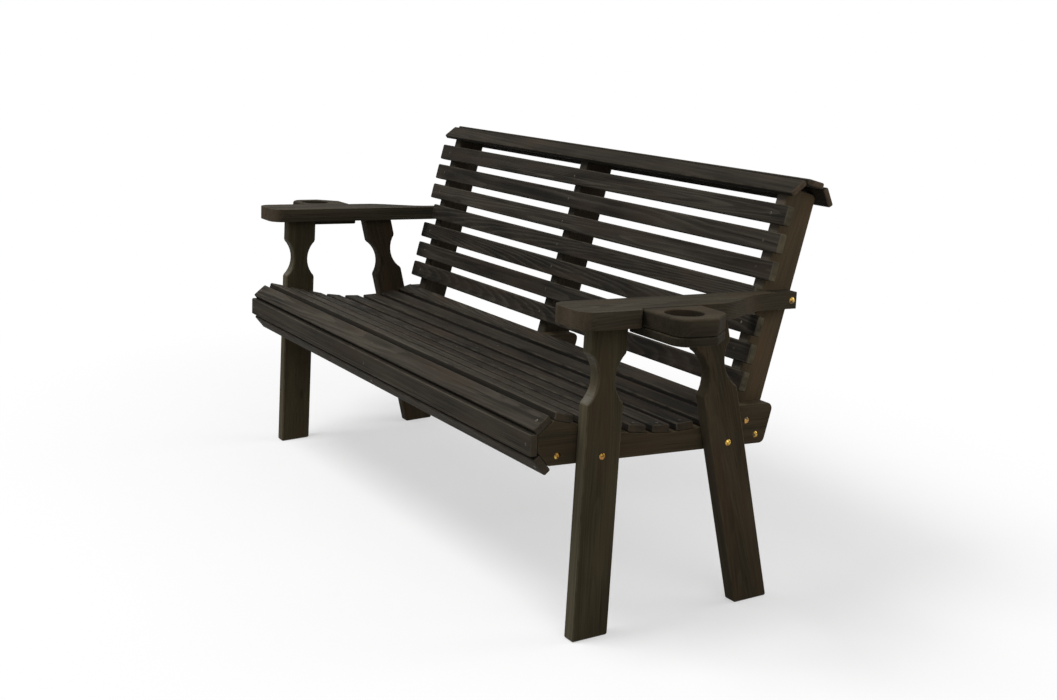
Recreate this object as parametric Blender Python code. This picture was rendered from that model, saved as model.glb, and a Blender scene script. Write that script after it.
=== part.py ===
"""Slatted garden bench with a rolled nose, a rolled back, paddle arms and two cup holders.

Runs in Blender 4.5. Sizes are in metres. The side view is drawn in Y (front to back) and Z (up) from the
toe of the front legs, and at the end the bench is centred over the origin. Left and right are those of
someone sitting on it, so left is +X and the bench faces -Y.
"""

from math import acos, cos, pi, radians, sin, sqrt, tan

import bmesh
import bpy

# Lumber and gaps
PLANK = 0.0381
LEG_WIDTH = 0.0889
UPRIGHT_DEPTH = 0.0820
SLAT_WIDTH = 0.0457
SLAT_THICK = 0.0185
SLAT_GAP = 0.0177
PLATE_THICK = 0.0190
SEAM = 0.0003
PLANK_EASE = 0.0035
SLAT_EASE = 0.0035
ARM_EASE = 0.0060

# Layout along the bench, and from the toes of the front legs to the faces of the back slats
BENCH_LENGTH = 1.8288
MIDDLE_RAIL_X = -0.0076
SEAT_DEPTH = 0.4617

# Seat rail: slope of its lower edge, dished upper edge, nose and raised back block
TILT = radians(3.8)
RAIL_BOTTOM = 0.3895
DIP_FROM_BACK = 0.1367
DIP_Z = 0.4165
DISH_FRONT_RADIUS = 0.6895
DISH_REAR_RADIUS = 0.5185
RAMP_ANGLE = radians(17.2)
SEAT_SLATS = 8
SEAT_OVERHANG = 0.0278
LAST_SLAT_RUN = 0.1410
STEP_CLEARANCE = 0.0015
NOSE_CLEARANCE = 0.0012
NOSE_UPPER_HEADING = radians(36)
NOSE_FRONT_HEADING = radians(86)
NOSE_LOWER_HEADING = radians(126)
NOSE_FRONT_FACET = 0.0360
RAIL_BACK_DEPTH = 0.0920
RAIL_TAIL = 0.0050
RAIL_TAIL_RADIUS = 0.0140

# Back: plane of the slats' faces, and the cap
BACK_Z = 0.4848
RECLINE = radians(17.85)
BACK_SLATS = 7
UPRIGHT_RAISE = 0.0040
CAP_GAP = 0.0200
CAP_THICK = 0.0140
CAP_LAP = 0.0010
CAP_TURN = radians(51)

# Legs
FRONT_RAKE = radians(5.0)
REAR_RAKE = radians(-9.9)
REAR_LEG_FROM_BACK = 0.0340
WAIST_RADIUS = 0.0750
WAIST_DEPTH = 0.0230
WAIST_DROP = 0.1180

# Arms, measured along their sloping top
ARM_HEIGHT = 0.7340
ARM_FRONT = 0.0000
ARM_SETBACK = 0.01468
ARM_WIDTH = 0.1397
ARM_STEP = 0.0196
ARM_SHOULDER = 0.1500
ARM_SHOULDER_RADIUS = 0.0190
ARM_NOSE_RADIUS = 0.0380
ARM_SWEEP_RADIUS = 0.3200
ARM_TAIL = 0.0610

# Cup holders
BLOCK_WIDTH = 0.1447
BLOCK_LENGTH = 0.1500
BLOCK_RADIUS = 0.0380
BLOCK_CUT_WIDTH = 0.0530
BLOCK_CUT_LENGTH = 0.0570
CUP_DIAMETER = 0.0830
CUP_FROM_ARM = 0.0717
CUP_FROM_FRONT = 0.0577

# Carriage bolts with washers and nuts
BOLT_DIAMETER = 0.0064
BOLT_HEAD = 0.0156
BOLT_HEAD_HEIGHT = 0.0038
BOLT_NECK = 0.0048
WASHER_DIAMETER = 0.0180
WASHER_THICK = 0.0016
NUT_ACROSS = 0.0111
NUT_THICK = 0.0056
BOLT_TIP = 0.0030
BOLT_RISE = 0.0210
BOLT_UPPER_RISE = 0.0560
BOLT_NOSE_Y = -0.0075
UPRIGHT_BOLT_INSET = 0.0235
ARM_BOLT_INSET = 0.0125
BOLT_SIDES = 12

SIDES = (("left", 1), ("right", -1))
STAIN_FACE = (0.058, 0.052, 0.046)
STAIN_SIDE = (0.062, 0.047, 0.034)
ZINC = (0.62, 0.47, 0.22)

# Positions that follow from the sizes, from the legs inwards
LEG_OUTER = BENCH_LENGTH / 2
LEG_INNER = LEG_OUTER - PLANK
RAIL_OUTER = LEG_INNER - SEAM
RAIL_INNER = RAIL_OUTER - PLANK
UPRIGHT_OUTER = RAIL_INNER - SEAM
UPRIGHT_INNER = UPRIGHT_OUTER - PLANK
ARM_INNER = UPRIGHT_OUTER + SEAM
ARM_NECK = ARM_WIDTH - ARM_STEP
BLOCK_INNER = ARM_INNER + ARM_NECK + SEAM
SLAT_PITCH = SLAT_WIDTH + SLAT_GAP
SEAT_PITCH = (SEAT_DEPTH + SEAT_OVERHANG - SLAT_WIDTH) / (SEAT_SLATS - 1)
DIP_Y = SEAT_DEPTH - DIP_FROM_BACK
REAR_LEG_Y = SEAT_DEPTH - REAR_LEG_FROM_BACK
UPRIGHT_FRONT = SLAT_THICK + SEAM
UPRIGHT_BACK = UPRIGHT_FRONT + UPRIGHT_DEPTH
ARM_UNDERSIDE = ARM_HEIGHT - PLANK / cos(TILT)

for old in list(bpy.data.objects):
    bpy.data.objects.remove(old, do_unlink=True)
bench = bpy.data.objects.new("bench", None)
bpy.context.scene.collection.objects.link(bench)


def back_point(rise, depth):
    """Side-view point that is a rise up the back and a depth behind the faces of its slats."""
    return (
        SEAT_DEPTH + rise * sin(RECLINE) + depth * cos(RECLINE),
        BACK_Z + rise * cos(RECLINE) - depth * sin(RECLINE),
    )


def back_point_on(height, depth):
    """Where the back's line at a depth meets the line parallel to the rails through Y = 0, Z = height."""
    y, z = back_point(0, depth)
    rise = (height - tan(TILT) * y - z) / (cos(RECLINE) + tan(TILT) * sin(RECLINE))
    return back_point(rise, depth)


def dish_point(run):
    """Point on the rails' upper edge, at a run along it from its lowest point, positive to the back."""
    if run >= 0:
        radius, turn, toward = DISH_REAR_RADIUS, run / DISH_REAR_RADIUS, 1
    else:
        radius, turn, toward = DISH_FRONT_RADIUS, min(-run / DISH_FRONT_RADIUS, RAMP_ANGLE), -1
    ramp = abs(run) - radius * turn
    return (
        DIP_Y + toward * (radius * sin(turn) + ramp * cos(turn)),
        DIP_Z + radius * (1 - cos(turn)) + ramp * sin(turn),
    )


def along(point, heading, distance):
    """Side-view point at a distance on a heading, where 0 is forward and 90 degrees is down."""
    return (point[0] - distance * cos(heading), point[1] - distance * sin(heading))


def unit(start, end):
    """Direction from one side-view point to another, and the direction to its left."""
    y, z = end[0] - start[0], end[1] - start[1]
    length = sqrt(y * y + z * z)
    return (y / length, z / length), (-z / length, y / length)


def meets_arm(points):
    """Whether side-view points lie at the arms' height, so that a full-length slat would run into them."""
    depths = [(ARM_HEIGHT - z) * cos(TILT) - y * sin(TILT) for y, z in points]
    return min(depths) < PLANK + SEAM and max(depths) > -SEAM


def slat_section(start, end, thick):
    """Corners of a slat that lies on the left of a line, a seam above it, from start towards end."""
    (dy, dz), (ny, nz) = unit(start, end)
    corners = []
    for run, lift in ((0, 0), (SLAT_WIDTH, 0), (SLAT_WIDTH, thick), (0, thick)):
        lift += SEAM
        corners.append((start[0] + run * dy + lift * ny, start[1] + run * dz + lift * nz))
    return corners


def rounded(before, corner, after, radius, steps=6):
    """Points of the arc that rounds one corner of an outline."""
    (ay, az), _ = unit(corner, before)
    (by, bz), _ = unit(corner, after)
    half = acos(max(-1, min(1, ay * by + az * bz))) / 2
    reach = radius / tan(half)
    start = (corner[0] + ay * reach, corner[1] + az * reach)
    middle_y, middle_z = ay + by, az + bz
    scale = radius / sin(half) / sqrt(middle_y**2 + middle_z**2)
    centre = (corner[0] + middle_y * scale, corner[1] + middle_z * scale)
    spoke = (start[0] - centre[0], start[1] - centre[1])
    turn = pi - 2 * half
    if ay * bz - az * by > 0:
        turn = -turn
    points = []
    for i in range(steps + 1):
        c, s = cos(turn * i / steps), sin(turn * i / steps)
        points.append((centre[0] + spoke[0] * c - spoke[1] * s, centre[1] + spoke[0] * s + spoke[1] * c))
    return points


def finish(name, shape, colour, metallic=0.0, roughness=0.72):
    """Object made from a bmesh, with its own plain material, under the bench's empty."""
    bmesh.ops.recalc_face_normals(shape, faces=shape.faces)
    mesh = bpy.data.meshes.new(name)
    shape.to_mesh(mesh)
    shape.free()
    mesh.shade_smooth()
    mesh.set_sharp_from_angle(angle=radians(35))
    piece = bpy.data.objects.new(name, mesh)
    piece.parent = bench
    bpy.context.scene.collection.objects.link(piece)
    material = bpy.data.materials.new(name)
    material.use_nodes = True
    shader = material.node_tree.nodes["Principled BSDF"]
    shader.inputs["Base Color"].default_value = (*colour, 1)
    shader.inputs["Roughness"].default_value = roughness
    shader.inputs["Metallic"].default_value = metallic
    mesh.materials.append(material)
    return piece


def prism(name, corners, sweep, colour):
    """Solid swept from a flat outline of corners (x, y, z) along a vector."""
    shape = bmesh.new()
    face = shape.faces.new([shape.verts.new(corner) for corner in corners])
    swept = bmesh.ops.extrude_face_region(shape, geom=[face])["geom"]
    bmesh.ops.translate(shape, vec=sweep, verts=[v for v in swept if isinstance(v, bmesh.types.BMVert)])
    return finish(name, shape, colour)


def ease(piece, width, segments=2):
    """Rounds over every edge of a board that turns by more than a curve's facets do."""
    bevel = piece.modifiers.new("eased edges", "BEVEL")
    bevel.width = width
    bevel.segments = segments
    bevel.limit_method = "ANGLE"
    bevel.angle_limit = radians(28)


def board(name, outline, low, high):
    """Plank with a side-view outline, between two X positions, with its edges broken."""
    piece = prism(name, [(low, y, z) for y, z in outline], (high - low, 0, 0), STAIN_SIDE)
    ease(piece, PLANK_EASE, 1)
    return piece


def slat(name, start, end, half_length=RAIL_OUTER, thick=SLAT_THICK):
    """Slat along the bench, on the left of a side-view line, with rounded edges."""
    corners = [(-half_length, y, z) for y, z in slat_section(start, end, thick)]
    piece = prism(name, corners, (2 * half_length, 0, 0), STAIN_FACE)
    ease(piece, SLAT_EASE)
    return piece


def sloped(name, outline, top, thick, width):
    """Board in the plane of the arms, from an outline in X and distance back, with its top at a depth."""
    piece = prism(name, [(x, run, -top) for x, run in outline], (0, 0, -thick), STAIN_FACE)
    piece.location.z = ARM_HEIGHT
    piece.rotation_euler.x = -TILT
    if width:
        ease(piece, width)
    return piece


def cut(piece, cutter):
    """Cuts one hidden shape out of a piece."""
    boolean = piece.modifiers.new(cutter.name, "BOOLEAN")
    boolean.operation = "DIFFERENCE"
    boolean.solver = "EXACT"
    boolean.object = cutter


# Rails: nose facets below the front slat, one flat under each seat slat, and the block behind the last
seat_runs = []
for i in range(SEAT_SLATS):
    end = LAST_SLAT_RUN - (SEAT_SLATS - 1 - i) * SEAT_PITCH
    seat_runs.append((end - SLAT_WIDTH, end))
nose_top = dish_point(seat_runs[0][0])
nose_bend = along(nose_top, NOSE_UPPER_HEADING, NOSE_CLEARANCE + SLAT_WIDTH)
nose_chin = along(nose_bend, NOSE_FRONT_HEADING, NOSE_FRONT_FACET)
chin_drop = nose_chin[1] - (RAIL_BOTTOM - tan(TILT) * nose_chin[0])
chin_run = chin_drop / (sin(NOSE_LOWER_HEADING) + tan(TILT) * cos(NOSE_LOWER_HEADING))
nose_foot = along(nose_chin, NOSE_LOWER_HEADING, chin_run)

block_height = RAIL_BOTTOM + RAIL_BACK_DEPTH / cos(TILT)
step_foot = dish_point(LAST_SLAT_RUN + STEP_CLEARANCE)
_, (step_y, step_z) = unit(dish_point(seat_runs[-1][0]), dish_point(LAST_SLAT_RUN))
step_rise = (block_height - tan(TILT) * step_foot[0] - step_foot[1]) / (step_z + tan(TILT) * step_y)
step_head = (step_foot[0] + step_rise * step_y, step_foot[1] + step_rise * step_z)
tail_top = back_point_on(block_height, UPRIGHT_BACK + RAIL_TAIL)
tail_foot = back_point_on(RAIL_BOTTOM, UPRIGHT_BACK + RAIL_TAIL)

rail_outline = [nose_foot, nose_chin, nose_bend]
for start, end in seat_runs:
    rail_outline += [dish_point(start), dish_point(end)]
rail_outline += [step_foot, step_head]
rail_outline += rounded(step_head, tail_top, tail_foot, RAIL_TAIL_RADIUS)
rail_outline += rounded(tail_top, tail_foot, nose_foot, RAIL_TAIL_RADIUS)

middle_low, middle_high = MIDDLE_RAIL_X - PLANK / 2, MIDDLE_RAIL_X + PLANK / 2
rails = {"middle": board("rail_middle", rail_outline, middle_low, middle_high)}
for hand, side in SIDES:
    rails[hand] = board("rail_" + hand, rail_outline, side * RAIL_INNER, side * RAIL_OUTER)

# Seat slats, and the three that wrap round the nose: at its bend the rounded edges of two slats almost meet
for i, (start, end) in enumerate(seat_runs):
    slat(f"seat_slat_{i + 1}", dish_point(start), dish_point(end))
half_bend = (NOSE_FRONT_HEADING - NOSE_UPPER_HEADING) / 2
bend_room = 2 * SLAT_EASE * (sin(half_bend) + cos(half_bend) - 1) - SEAM
bend_lap = bend_room / (2 * cos(half_bend))
slat("nose_slat_upper", along(nose_bend, NOSE_UPPER_HEADING, bend_lap), nose_top)
front_end = along(nose_bend, NOSE_FRONT_HEADING, SLAT_WIDTH - bend_lap)
slat("nose_slat_front", front_end, nose_bend)
overhang = SLAT_WIDTH - bend_lap - NOSE_FRONT_FACET
lower_start = max(overhang, 0) * cos(NOSE_LOWER_HEADING - NOSE_FRONT_HEADING) + NOSE_CLEARANCE
lower_end = along(nose_chin, NOSE_LOWER_HEADING, lower_start + SLAT_WIDTH)
slat("nose_slat_lower", lower_end, nose_chin)

# Back: slats, uprights with a three-faced top, and the cap boards on those faces
slats_top = (BACK_SLATS - 1) * SLAT_PITCH + SLAT_WIDTH
cap_rise = slats_top + CAP_GAP + SLAT_WIDTH * sin(CAP_TURN)
cap_middle = (UPRIGHT_FRONT + UPRIGHT_BACK) / 2
cap_flat = SLAT_WIDTH / 2 + CAP_LAP
cap_side = cap_rise - (UPRIGHT_DEPTH / 2 - cap_flat) * tan(CAP_TURN)
upright_outline = [
    back_point_on(RAIL_BOTTOM + UPRIGHT_RAISE, UPRIGHT_FRONT),
    back_point(cap_side, UPRIGHT_FRONT),
    back_point(cap_rise, cap_middle - cap_flat),
    back_point(cap_rise, cap_middle + cap_flat),
    back_point(cap_side, UPRIGHT_BACK),
    back_point_on(RAIL_BOTTOM + UPRIGHT_RAISE, UPRIGHT_BACK),
]
middle_face = middle_low - SEAM
uprights = {"middle": board("upright_middle", upright_outline, middle_face - PLANK, middle_face)}
for hand, side in SIDES:
    uprights[hand] = board("upright_" + hand, upright_outline, side * UPRIGHT_INNER, side * UPRIGHT_OUTER)

for i in range(BACK_SLATS):
    start = back_point(i * SLAT_PITCH, UPRIGHT_FRONT)
    end = back_point(i * SLAT_PITCH + SLAT_WIDTH, UPRIGHT_FRONT)
    beside_arm = meets_arm(slat_section(start, end, SLAT_THICK))
    slat(f"back_slat_{i + 1}", start, end, UPRIGHT_OUTER if beside_arm else RAIL_OUTER)
cap_drop, cap_reach = SLAT_WIDTH * sin(CAP_TURN), SLAT_WIDTH * cos(CAP_TURN)
cap_front_edge, cap_back_edge = cap_middle - cap_flat, cap_middle + cap_flat
slat(
    "cap_board_front",
    back_point(cap_rise - cap_drop, cap_front_edge - cap_reach),
    back_point(cap_rise, cap_front_edge),
    thick=CAP_THICK,
)
slat(
    "cap_board_top",
    back_point(cap_rise, cap_middle - SLAT_WIDTH / 2),
    back_point(cap_rise, cap_middle + SLAT_WIDTH / 2),
    thick=CAP_THICK,
)
slat(
    "cap_board_rear",
    back_point(cap_rise, cap_back_edge),
    back_point(cap_rise - cap_drop, cap_back_edge + cap_reach),
    thick=CAP_THICK,
)


def leg_point(toe, rake, run, across):
    """Side-view point of a leg, at a run up its front edge and a distance across it."""
    return (toe + run * sin(rake) + across * cos(rake), run * cos(rake) - across * sin(rake))


def leg_top(toe, rake, across):
    """Run up a leg at which it meets the underside of the arm, less a seam."""
    y, z = leg_point(toe, rake, 0, across)
    return (ARM_UNDERSIDE - SEAM - tan(TILT) * y - z) / (cos(rake) + tan(TILT) * sin(rake))


def leg_outline(toe, rake, steps=10):
    """Raked board from the floor to the arm, with a round hollow in both edges."""
    waist = leg_top(toe, rake, LEG_WIDTH / 2) - WAIST_DROP
    sweep = acos((WAIST_RADIUS - WAIST_DEPTH) / WAIST_RADIUS)
    hollow = []
    for i in range(steps + 1):
        angle = sweep * (2 * i / steps - 1)
        hollow.append((waist + WAIST_RADIUS * sin(angle), WAIST_RADIUS * cos(angle) - WAIST_RADIUS + WAIST_DEPTH))
    points = [(LEG_WIDTH * tan(rake), LEG_WIDTH)]
    points += [(run, LEG_WIDTH - inset) for run, inset in hollow]
    points += [(leg_top(toe, rake, LEG_WIDTH), LEG_WIDTH), (leg_top(toe, rake, 0), 0)]
    points += reversed(hollow)
    points += [(0, 0)]
    return [leg_point(toe, rake, run, across) for run, across in points]


legs = {}
for hand, side in SIDES:
    for place, toe, rake in (("front", 0, FRONT_RAKE), ("rear", REAR_LEG_Y, REAR_RAKE)):
        legs[place, hand] = board(
            f"leg_{place}_{hand}", leg_outline(toe, rake), side * LEG_INNER, side * LEG_OUTER
        )


arm_rear = back_point_on(ARM_HEIGHT, UPRIGHT_BACK)[0] / cos(TILT) - ARM_SETBACK


def arm_outline(side):
    """Paddle arm: rounded front, shoulder in to the neck beside the cup holder, sweep in to a straight tail."""
    front_inner, front_outer = (0, ARM_FRONT), (ARM_WIDTH, ARM_FRONT)
    shoulder = (ARM_WIDTH, ARM_SHOULDER)
    shoulder_radius = min(ARM_SHOULDER_RADIUS, 0.97 * ARM_STEP)
    drop = ARM_NECK - PLANK
    sweep = acos((ARM_SWEEP_RADIUS - drop) / ARM_SWEEP_RADIUS)
    points = rounded((0, arm_rear), front_inner, front_outer, ARM_NOSE_RADIUS)
    points += rounded(front_inner, front_outer, shoulder, ARM_NOSE_RADIUS)
    points += rounded(front_outer, shoulder, (ARM_NECK, ARM_SHOULDER), shoulder_radius, 4)
    points += [(ARM_NECK, ARM_SHOULDER)]
    for i in range(11):
        angle = sweep * (1 - i / 10)
        points.append((
            PLANK + ARM_SWEEP_RADIUS * (1 - cos(angle)),
            arm_rear - ARM_TAIL - ARM_SWEEP_RADIUS * sin(angle),
        ))
    points += [(PLANK, arm_rear), (0, arm_rear)]
    return [(side * (ARM_INNER + x), run) for x, run in points]


def holder_outline(side, inner):
    """Plan of a cup holder's block or plate, from an inner edge to the block's rounded and cut-off outer edge."""
    outer = BLOCK_INNER + BLOCK_WIDTH
    front = ARM_SHOULDER + SEAM
    rear = front + BLOCK_LENGTH
    cut_front, cut_rear = (outer, rear - BLOCK_CUT_LENGTH), (outer - BLOCK_CUT_WIDTH, rear)
    points = [(inner, front)]
    points += rounded((inner, front), (outer, front), cut_front, BLOCK_RADIUS)
    points += [cut_front, cut_rear, (inner, rear)]
    return [(side * x, run) for x, run in points]


arms = {}
for hand, side in SIDES:
    arms[hand] = sloped("arm_" + hand, arm_outline(side), 0, PLANK, ARM_EASE)
    block = sloped("cup_block_" + hand, holder_outline(side, BLOCK_INNER), 0, PLANK, ARM_EASE)
    sloped("cup_plate_" + hand, holder_outline(side, LEG_OUTER + SEAM), PLANK + SEAM, PLATE_THICK, SLAT_EASE)
    turns = [2 * pi * i / 40 for i in range(40)]
    cup_x, cup_run = BLOCK_INNER + CUP_FROM_ARM, ARM_SHOULDER + SEAM + CUP_FROM_FRONT
    circle = [
        (side * cup_x + CUP_DIAMETER / 2 * cos(turn), cup_run + CUP_DIAMETER / 2 * sin(turn)) for turn in turns
    ]
    cup = sloped("cup_cutter_" + hand, circle, -PLANK, 3 * PLANK, 0)
    cup.hide_render = True
    cup.display_type = "WIRE"
    cut(block, cup)


def ring(profile, radius, angle):
    """Radius at an angle of a round, square or six-sided section, given to its corners or its rim."""
    if profile == "square":
        return radius / (abs(cos(angle)) + abs(sin(angle)))
    if profile == "hexagon":
        return radius * cos(pi / 6) / cos((angle + pi / 6) % (pi / 3) - pi / 6)
    return radius


def turned(name, rings, seat, side):
    """Solid of rings along X, each given as distance in from the seat, radius and section, closed at both ends."""
    shape = bmesh.new()
    loops = []
    for inward, radius, profile in rings:
        loop = []
        for i in range(BOLT_SIDES):
            angle = 2 * pi * i / BOLT_SIDES
            r = ring(profile, radius, angle)
            loop.append(shape.verts.new((-side * inward, r * cos(angle), r * sin(angle))))
        loops.append(loop)
    for first, second in zip(loops, loops[1:]):
        for i in range(BOLT_SIDES):
            j = (i + 1) % BOLT_SIDES
            shape.faces.new((first[i], first[j], second[j], second[i]))
    shape.faces.new(loops[0])
    shape.faces.new(loops[-1])
    piece = finish(name, shape, ZINC, 1.0, 0.32)
    piece.location = seat
    return piece


def bolt(name, y, z, face, boards, side):
    """Carriage bolt through boards, its head on an outer face at X, with a tightened washer and nut inside."""
    head, shank, neck = BOLT_HEAD / 2, BOLT_DIAMETER / 2, BOLT_DIAMETER / sqrt(2)
    sphere = (head**2 + BOLT_HEAD_HEIGHT**2) / (2 * BOLT_HEAD_HEIGHT)
    washer_seat = len(boards) * (PLANK + SEAM) + SEAM
    nut_seat = washer_seat + WASHER_THICK
    tip = nut_seat + NUT_THICK
    rings = []
    for share in (0.35, 0.75, 1):
        radius = head * share
        rings.append((sphere - BOLT_HEAD_HEIGHT - sqrt(sphere**2 - radius**2), radius, "round"))
    rings += [(0, neck, "square"), (BOLT_NECK, neck, "square")]
    rings += [(BOLT_NECK, shank, "round"), (washer_seat, shank, "round")]
    rings += [(washer_seat, WASHER_DIAMETER / 2, "round"), (nut_seat, WASHER_DIAMETER / 2, "round")]
    rings += [(nut_seat, NUT_ACROSS / sqrt(3), "hexagon"), (tip, NUT_ACROSS / sqrt(3), "hexagon")]
    rings += [(tip, shank, "round"), (tip + BOLT_TIP, shank, "round")]
    seat = (face + side * SEAM, y, z)
    turned(name, rings, seat, side)
    wide_neck, wide_shank = neck + SEAM * sqrt(2), shank + SEAM / cos(pi / BOLT_SIDES)
    bore = [(-PLANK / 4, wide_neck, "square"), (BOLT_NECK + SEAM, wide_neck, "square")]
    bore += [(BOLT_NECK + SEAM, wide_shank, "round"), (washer_seat + PLANK / 4, wide_shank, "round")]
    cutter = turned(name + "_bore", bore, seat, side)
    cutter.hide_render = True
    cutter.display_type = "WIRE"
    for piece in boards:
        cut(piece, cutter)


def rail_height(y, rise):
    """Height of a point above the rails' lower edge."""
    return RAIL_BOTTOM - tan(TILT) * y + rise


def leg_middle(toe, rake):
    """Where a leg's middle line crosses the rails' line of bolts."""
    y, z = leg_point(toe, rake, 0, LEG_WIDTH / 2)
    run = (rail_height(y, BOLT_RISE) - z) / (cos(rake) + tan(TILT) * sin(rake))
    return leg_point(toe, rake, run, LEG_WIDTH / 2)


upper_bolt = back_point_on(RAIL_BOTTOM + BOLT_UPPER_RISE, UPRIGHT_FRONT + UPRIGHT_BOLT_INSET)
lower_bolt = back_point_on(RAIL_BOTTOM + BOLT_RISE, UPRIGHT_BACK - UPRIGHT_BOLT_INSET)
arm_run = arm_rear - ARM_BOLT_INSET
arm_bolt = (
    arm_run * cos(TILT) - PLANK / 2 * sin(TILT),
    ARM_HEIGHT - arm_run * sin(TILT) - PLANK / 2 * cos(TILT),
)
for hand, side in SIDES:
    rail, upright = rails[hand], uprights[hand]
    bolt("bolt_rail_nose_" + hand, BOLT_NOSE_Y, rail_height(BOLT_NOSE_Y, BOLT_RISE), side * RAIL_OUTER, [rail], side)
    for place, toe, rake in (("front", 0, FRONT_RAKE), ("rear", REAR_LEG_Y, REAR_RAKE)):
        y, z = leg_middle(toe, rake)
        bolt(f"bolt_leg_{place}_{hand}", y, z, side * LEG_OUTER, [legs[place, hand], rail], side)
    bolt("bolt_upright_upper_" + hand, *upper_bolt, side * RAIL_OUTER, [rail, upright], side)
    bolt("bolt_upright_lower_" + hand, *lower_bolt, side * RAIL_OUTER, [rail, upright], side)
    bolt("bolt_arm_" + hand, *arm_bolt, side * (ARM_INNER + PLANK), [arms[hand], upright], side)
bolt("bolt_middle_upper", *upper_bolt, middle_high, [rails["middle"], uprights["middle"]], 1)
bolt("bolt_middle_lower", *lower_bolt, middle_high, [rails["middle"], uprights["middle"]], 1)

# The bench stands centred over the origin
bpy.context.view_layer.update()
graph = bpy.context.evaluated_depsgraph_get()
depths = []
for piece in bench.children:
    if not piece.hide_render:
        solid = piece.evaluated_get(graph)
        depths += [(solid.matrix_world @ vertex.co).y for vertex in solid.data.vertices]
bench.location.y = -(min(depths) + max(depths)) / 2
print(f"{sum(not piece.hide_render for piece in bench.children)} pieces, moved {bench.location.y:.4f} m in Y")
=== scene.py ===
# %% [markdown]
# # A slatted garden bench in dark-stained pine
#
# The bench is two raked side frames, a dished seat and a leaning back, all of stained softwood boards held
# by yellow-zinc carriage bolts and slat screws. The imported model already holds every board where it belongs,
# so this lesson dresses that model: finer edges, wood grain that follows each board, real bolts and screws.
#
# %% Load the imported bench
import random
from math import copysign, cos, pi, radians, sin, sqrt

import bmesh
import bpy
from mathutils import Matrix, Vector


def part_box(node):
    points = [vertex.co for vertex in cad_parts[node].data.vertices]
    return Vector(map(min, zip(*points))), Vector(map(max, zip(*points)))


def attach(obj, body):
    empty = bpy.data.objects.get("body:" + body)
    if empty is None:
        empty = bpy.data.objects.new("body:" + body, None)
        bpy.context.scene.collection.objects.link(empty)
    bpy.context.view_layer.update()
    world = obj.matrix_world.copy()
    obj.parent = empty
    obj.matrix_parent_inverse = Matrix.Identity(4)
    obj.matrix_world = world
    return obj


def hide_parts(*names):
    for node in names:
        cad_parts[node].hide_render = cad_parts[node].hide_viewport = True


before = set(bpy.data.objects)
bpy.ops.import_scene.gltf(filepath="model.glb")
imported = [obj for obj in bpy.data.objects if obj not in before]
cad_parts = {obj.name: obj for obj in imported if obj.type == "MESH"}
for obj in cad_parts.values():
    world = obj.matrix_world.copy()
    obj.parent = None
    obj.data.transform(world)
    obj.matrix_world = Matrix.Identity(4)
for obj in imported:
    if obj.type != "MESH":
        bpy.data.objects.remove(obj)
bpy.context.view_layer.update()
BODY = "root"

# %% [markdown]
# ## Camera
#
# The picture was taken from the left end of the bench, a little above arm height, with a normal lens. A camera
# can be turned by hand until it looks right, but here its place was solved from the edges of boards of known
# size, so the yaw, pitch and roll are written down as angles and turned into the three axes of the camera.
#
# %% Set the camera
IMAGE_WIDTH, IMAGE_HEIGHT = 1057, 700
FOCAL_PIXELS = 1543.0
YAW, PITCH, ROLL = radians(61.323), radians(13.218), radians(1.080)
EYE = Vector((3.5745, -1.8699, 1.3707))

ahead = Vector((-sin(YAW) * cos(PITCH), cos(YAW) * cos(PITCH), -sin(PITCH)))
level_right = Vector((cos(YAW), sin(YAW), 0))
level_down = ahead.cross(level_right)
right = level_right * cos(ROLL) + level_down * sin(ROLL)
down = level_down * cos(ROLL) - level_right * sin(ROLL)

camera_data = bpy.data.cameras.new("camera")
camera_data.sensor_fit = "HORIZONTAL"
camera_data.sensor_width = 36.0
camera_data.lens = FOCAL_PIXELS * camera_data.sensor_width / IMAGE_WIDTH
camera = bpy.data.objects.new("camera", camera_data)
camera.matrix_world = Matrix((
    (right.x, -down.x, -ahead.x, EYE.x),
    (right.y, -down.y, -ahead.y, EYE.y),
    (right.z, -down.z, -ahead.z, EYE.z),
    (0, 0, 0, 1),
))
bpy.context.scene.collection.objects.link(camera)
bpy.context.scene.camera = camera
bpy.context.scene.view_settings.view_transform = "Standard"
print(f"lens {camera_data.lens:.2f} mm, picture {IMAGE_WIDTH} x {IMAGE_HEIGHT}")

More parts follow.
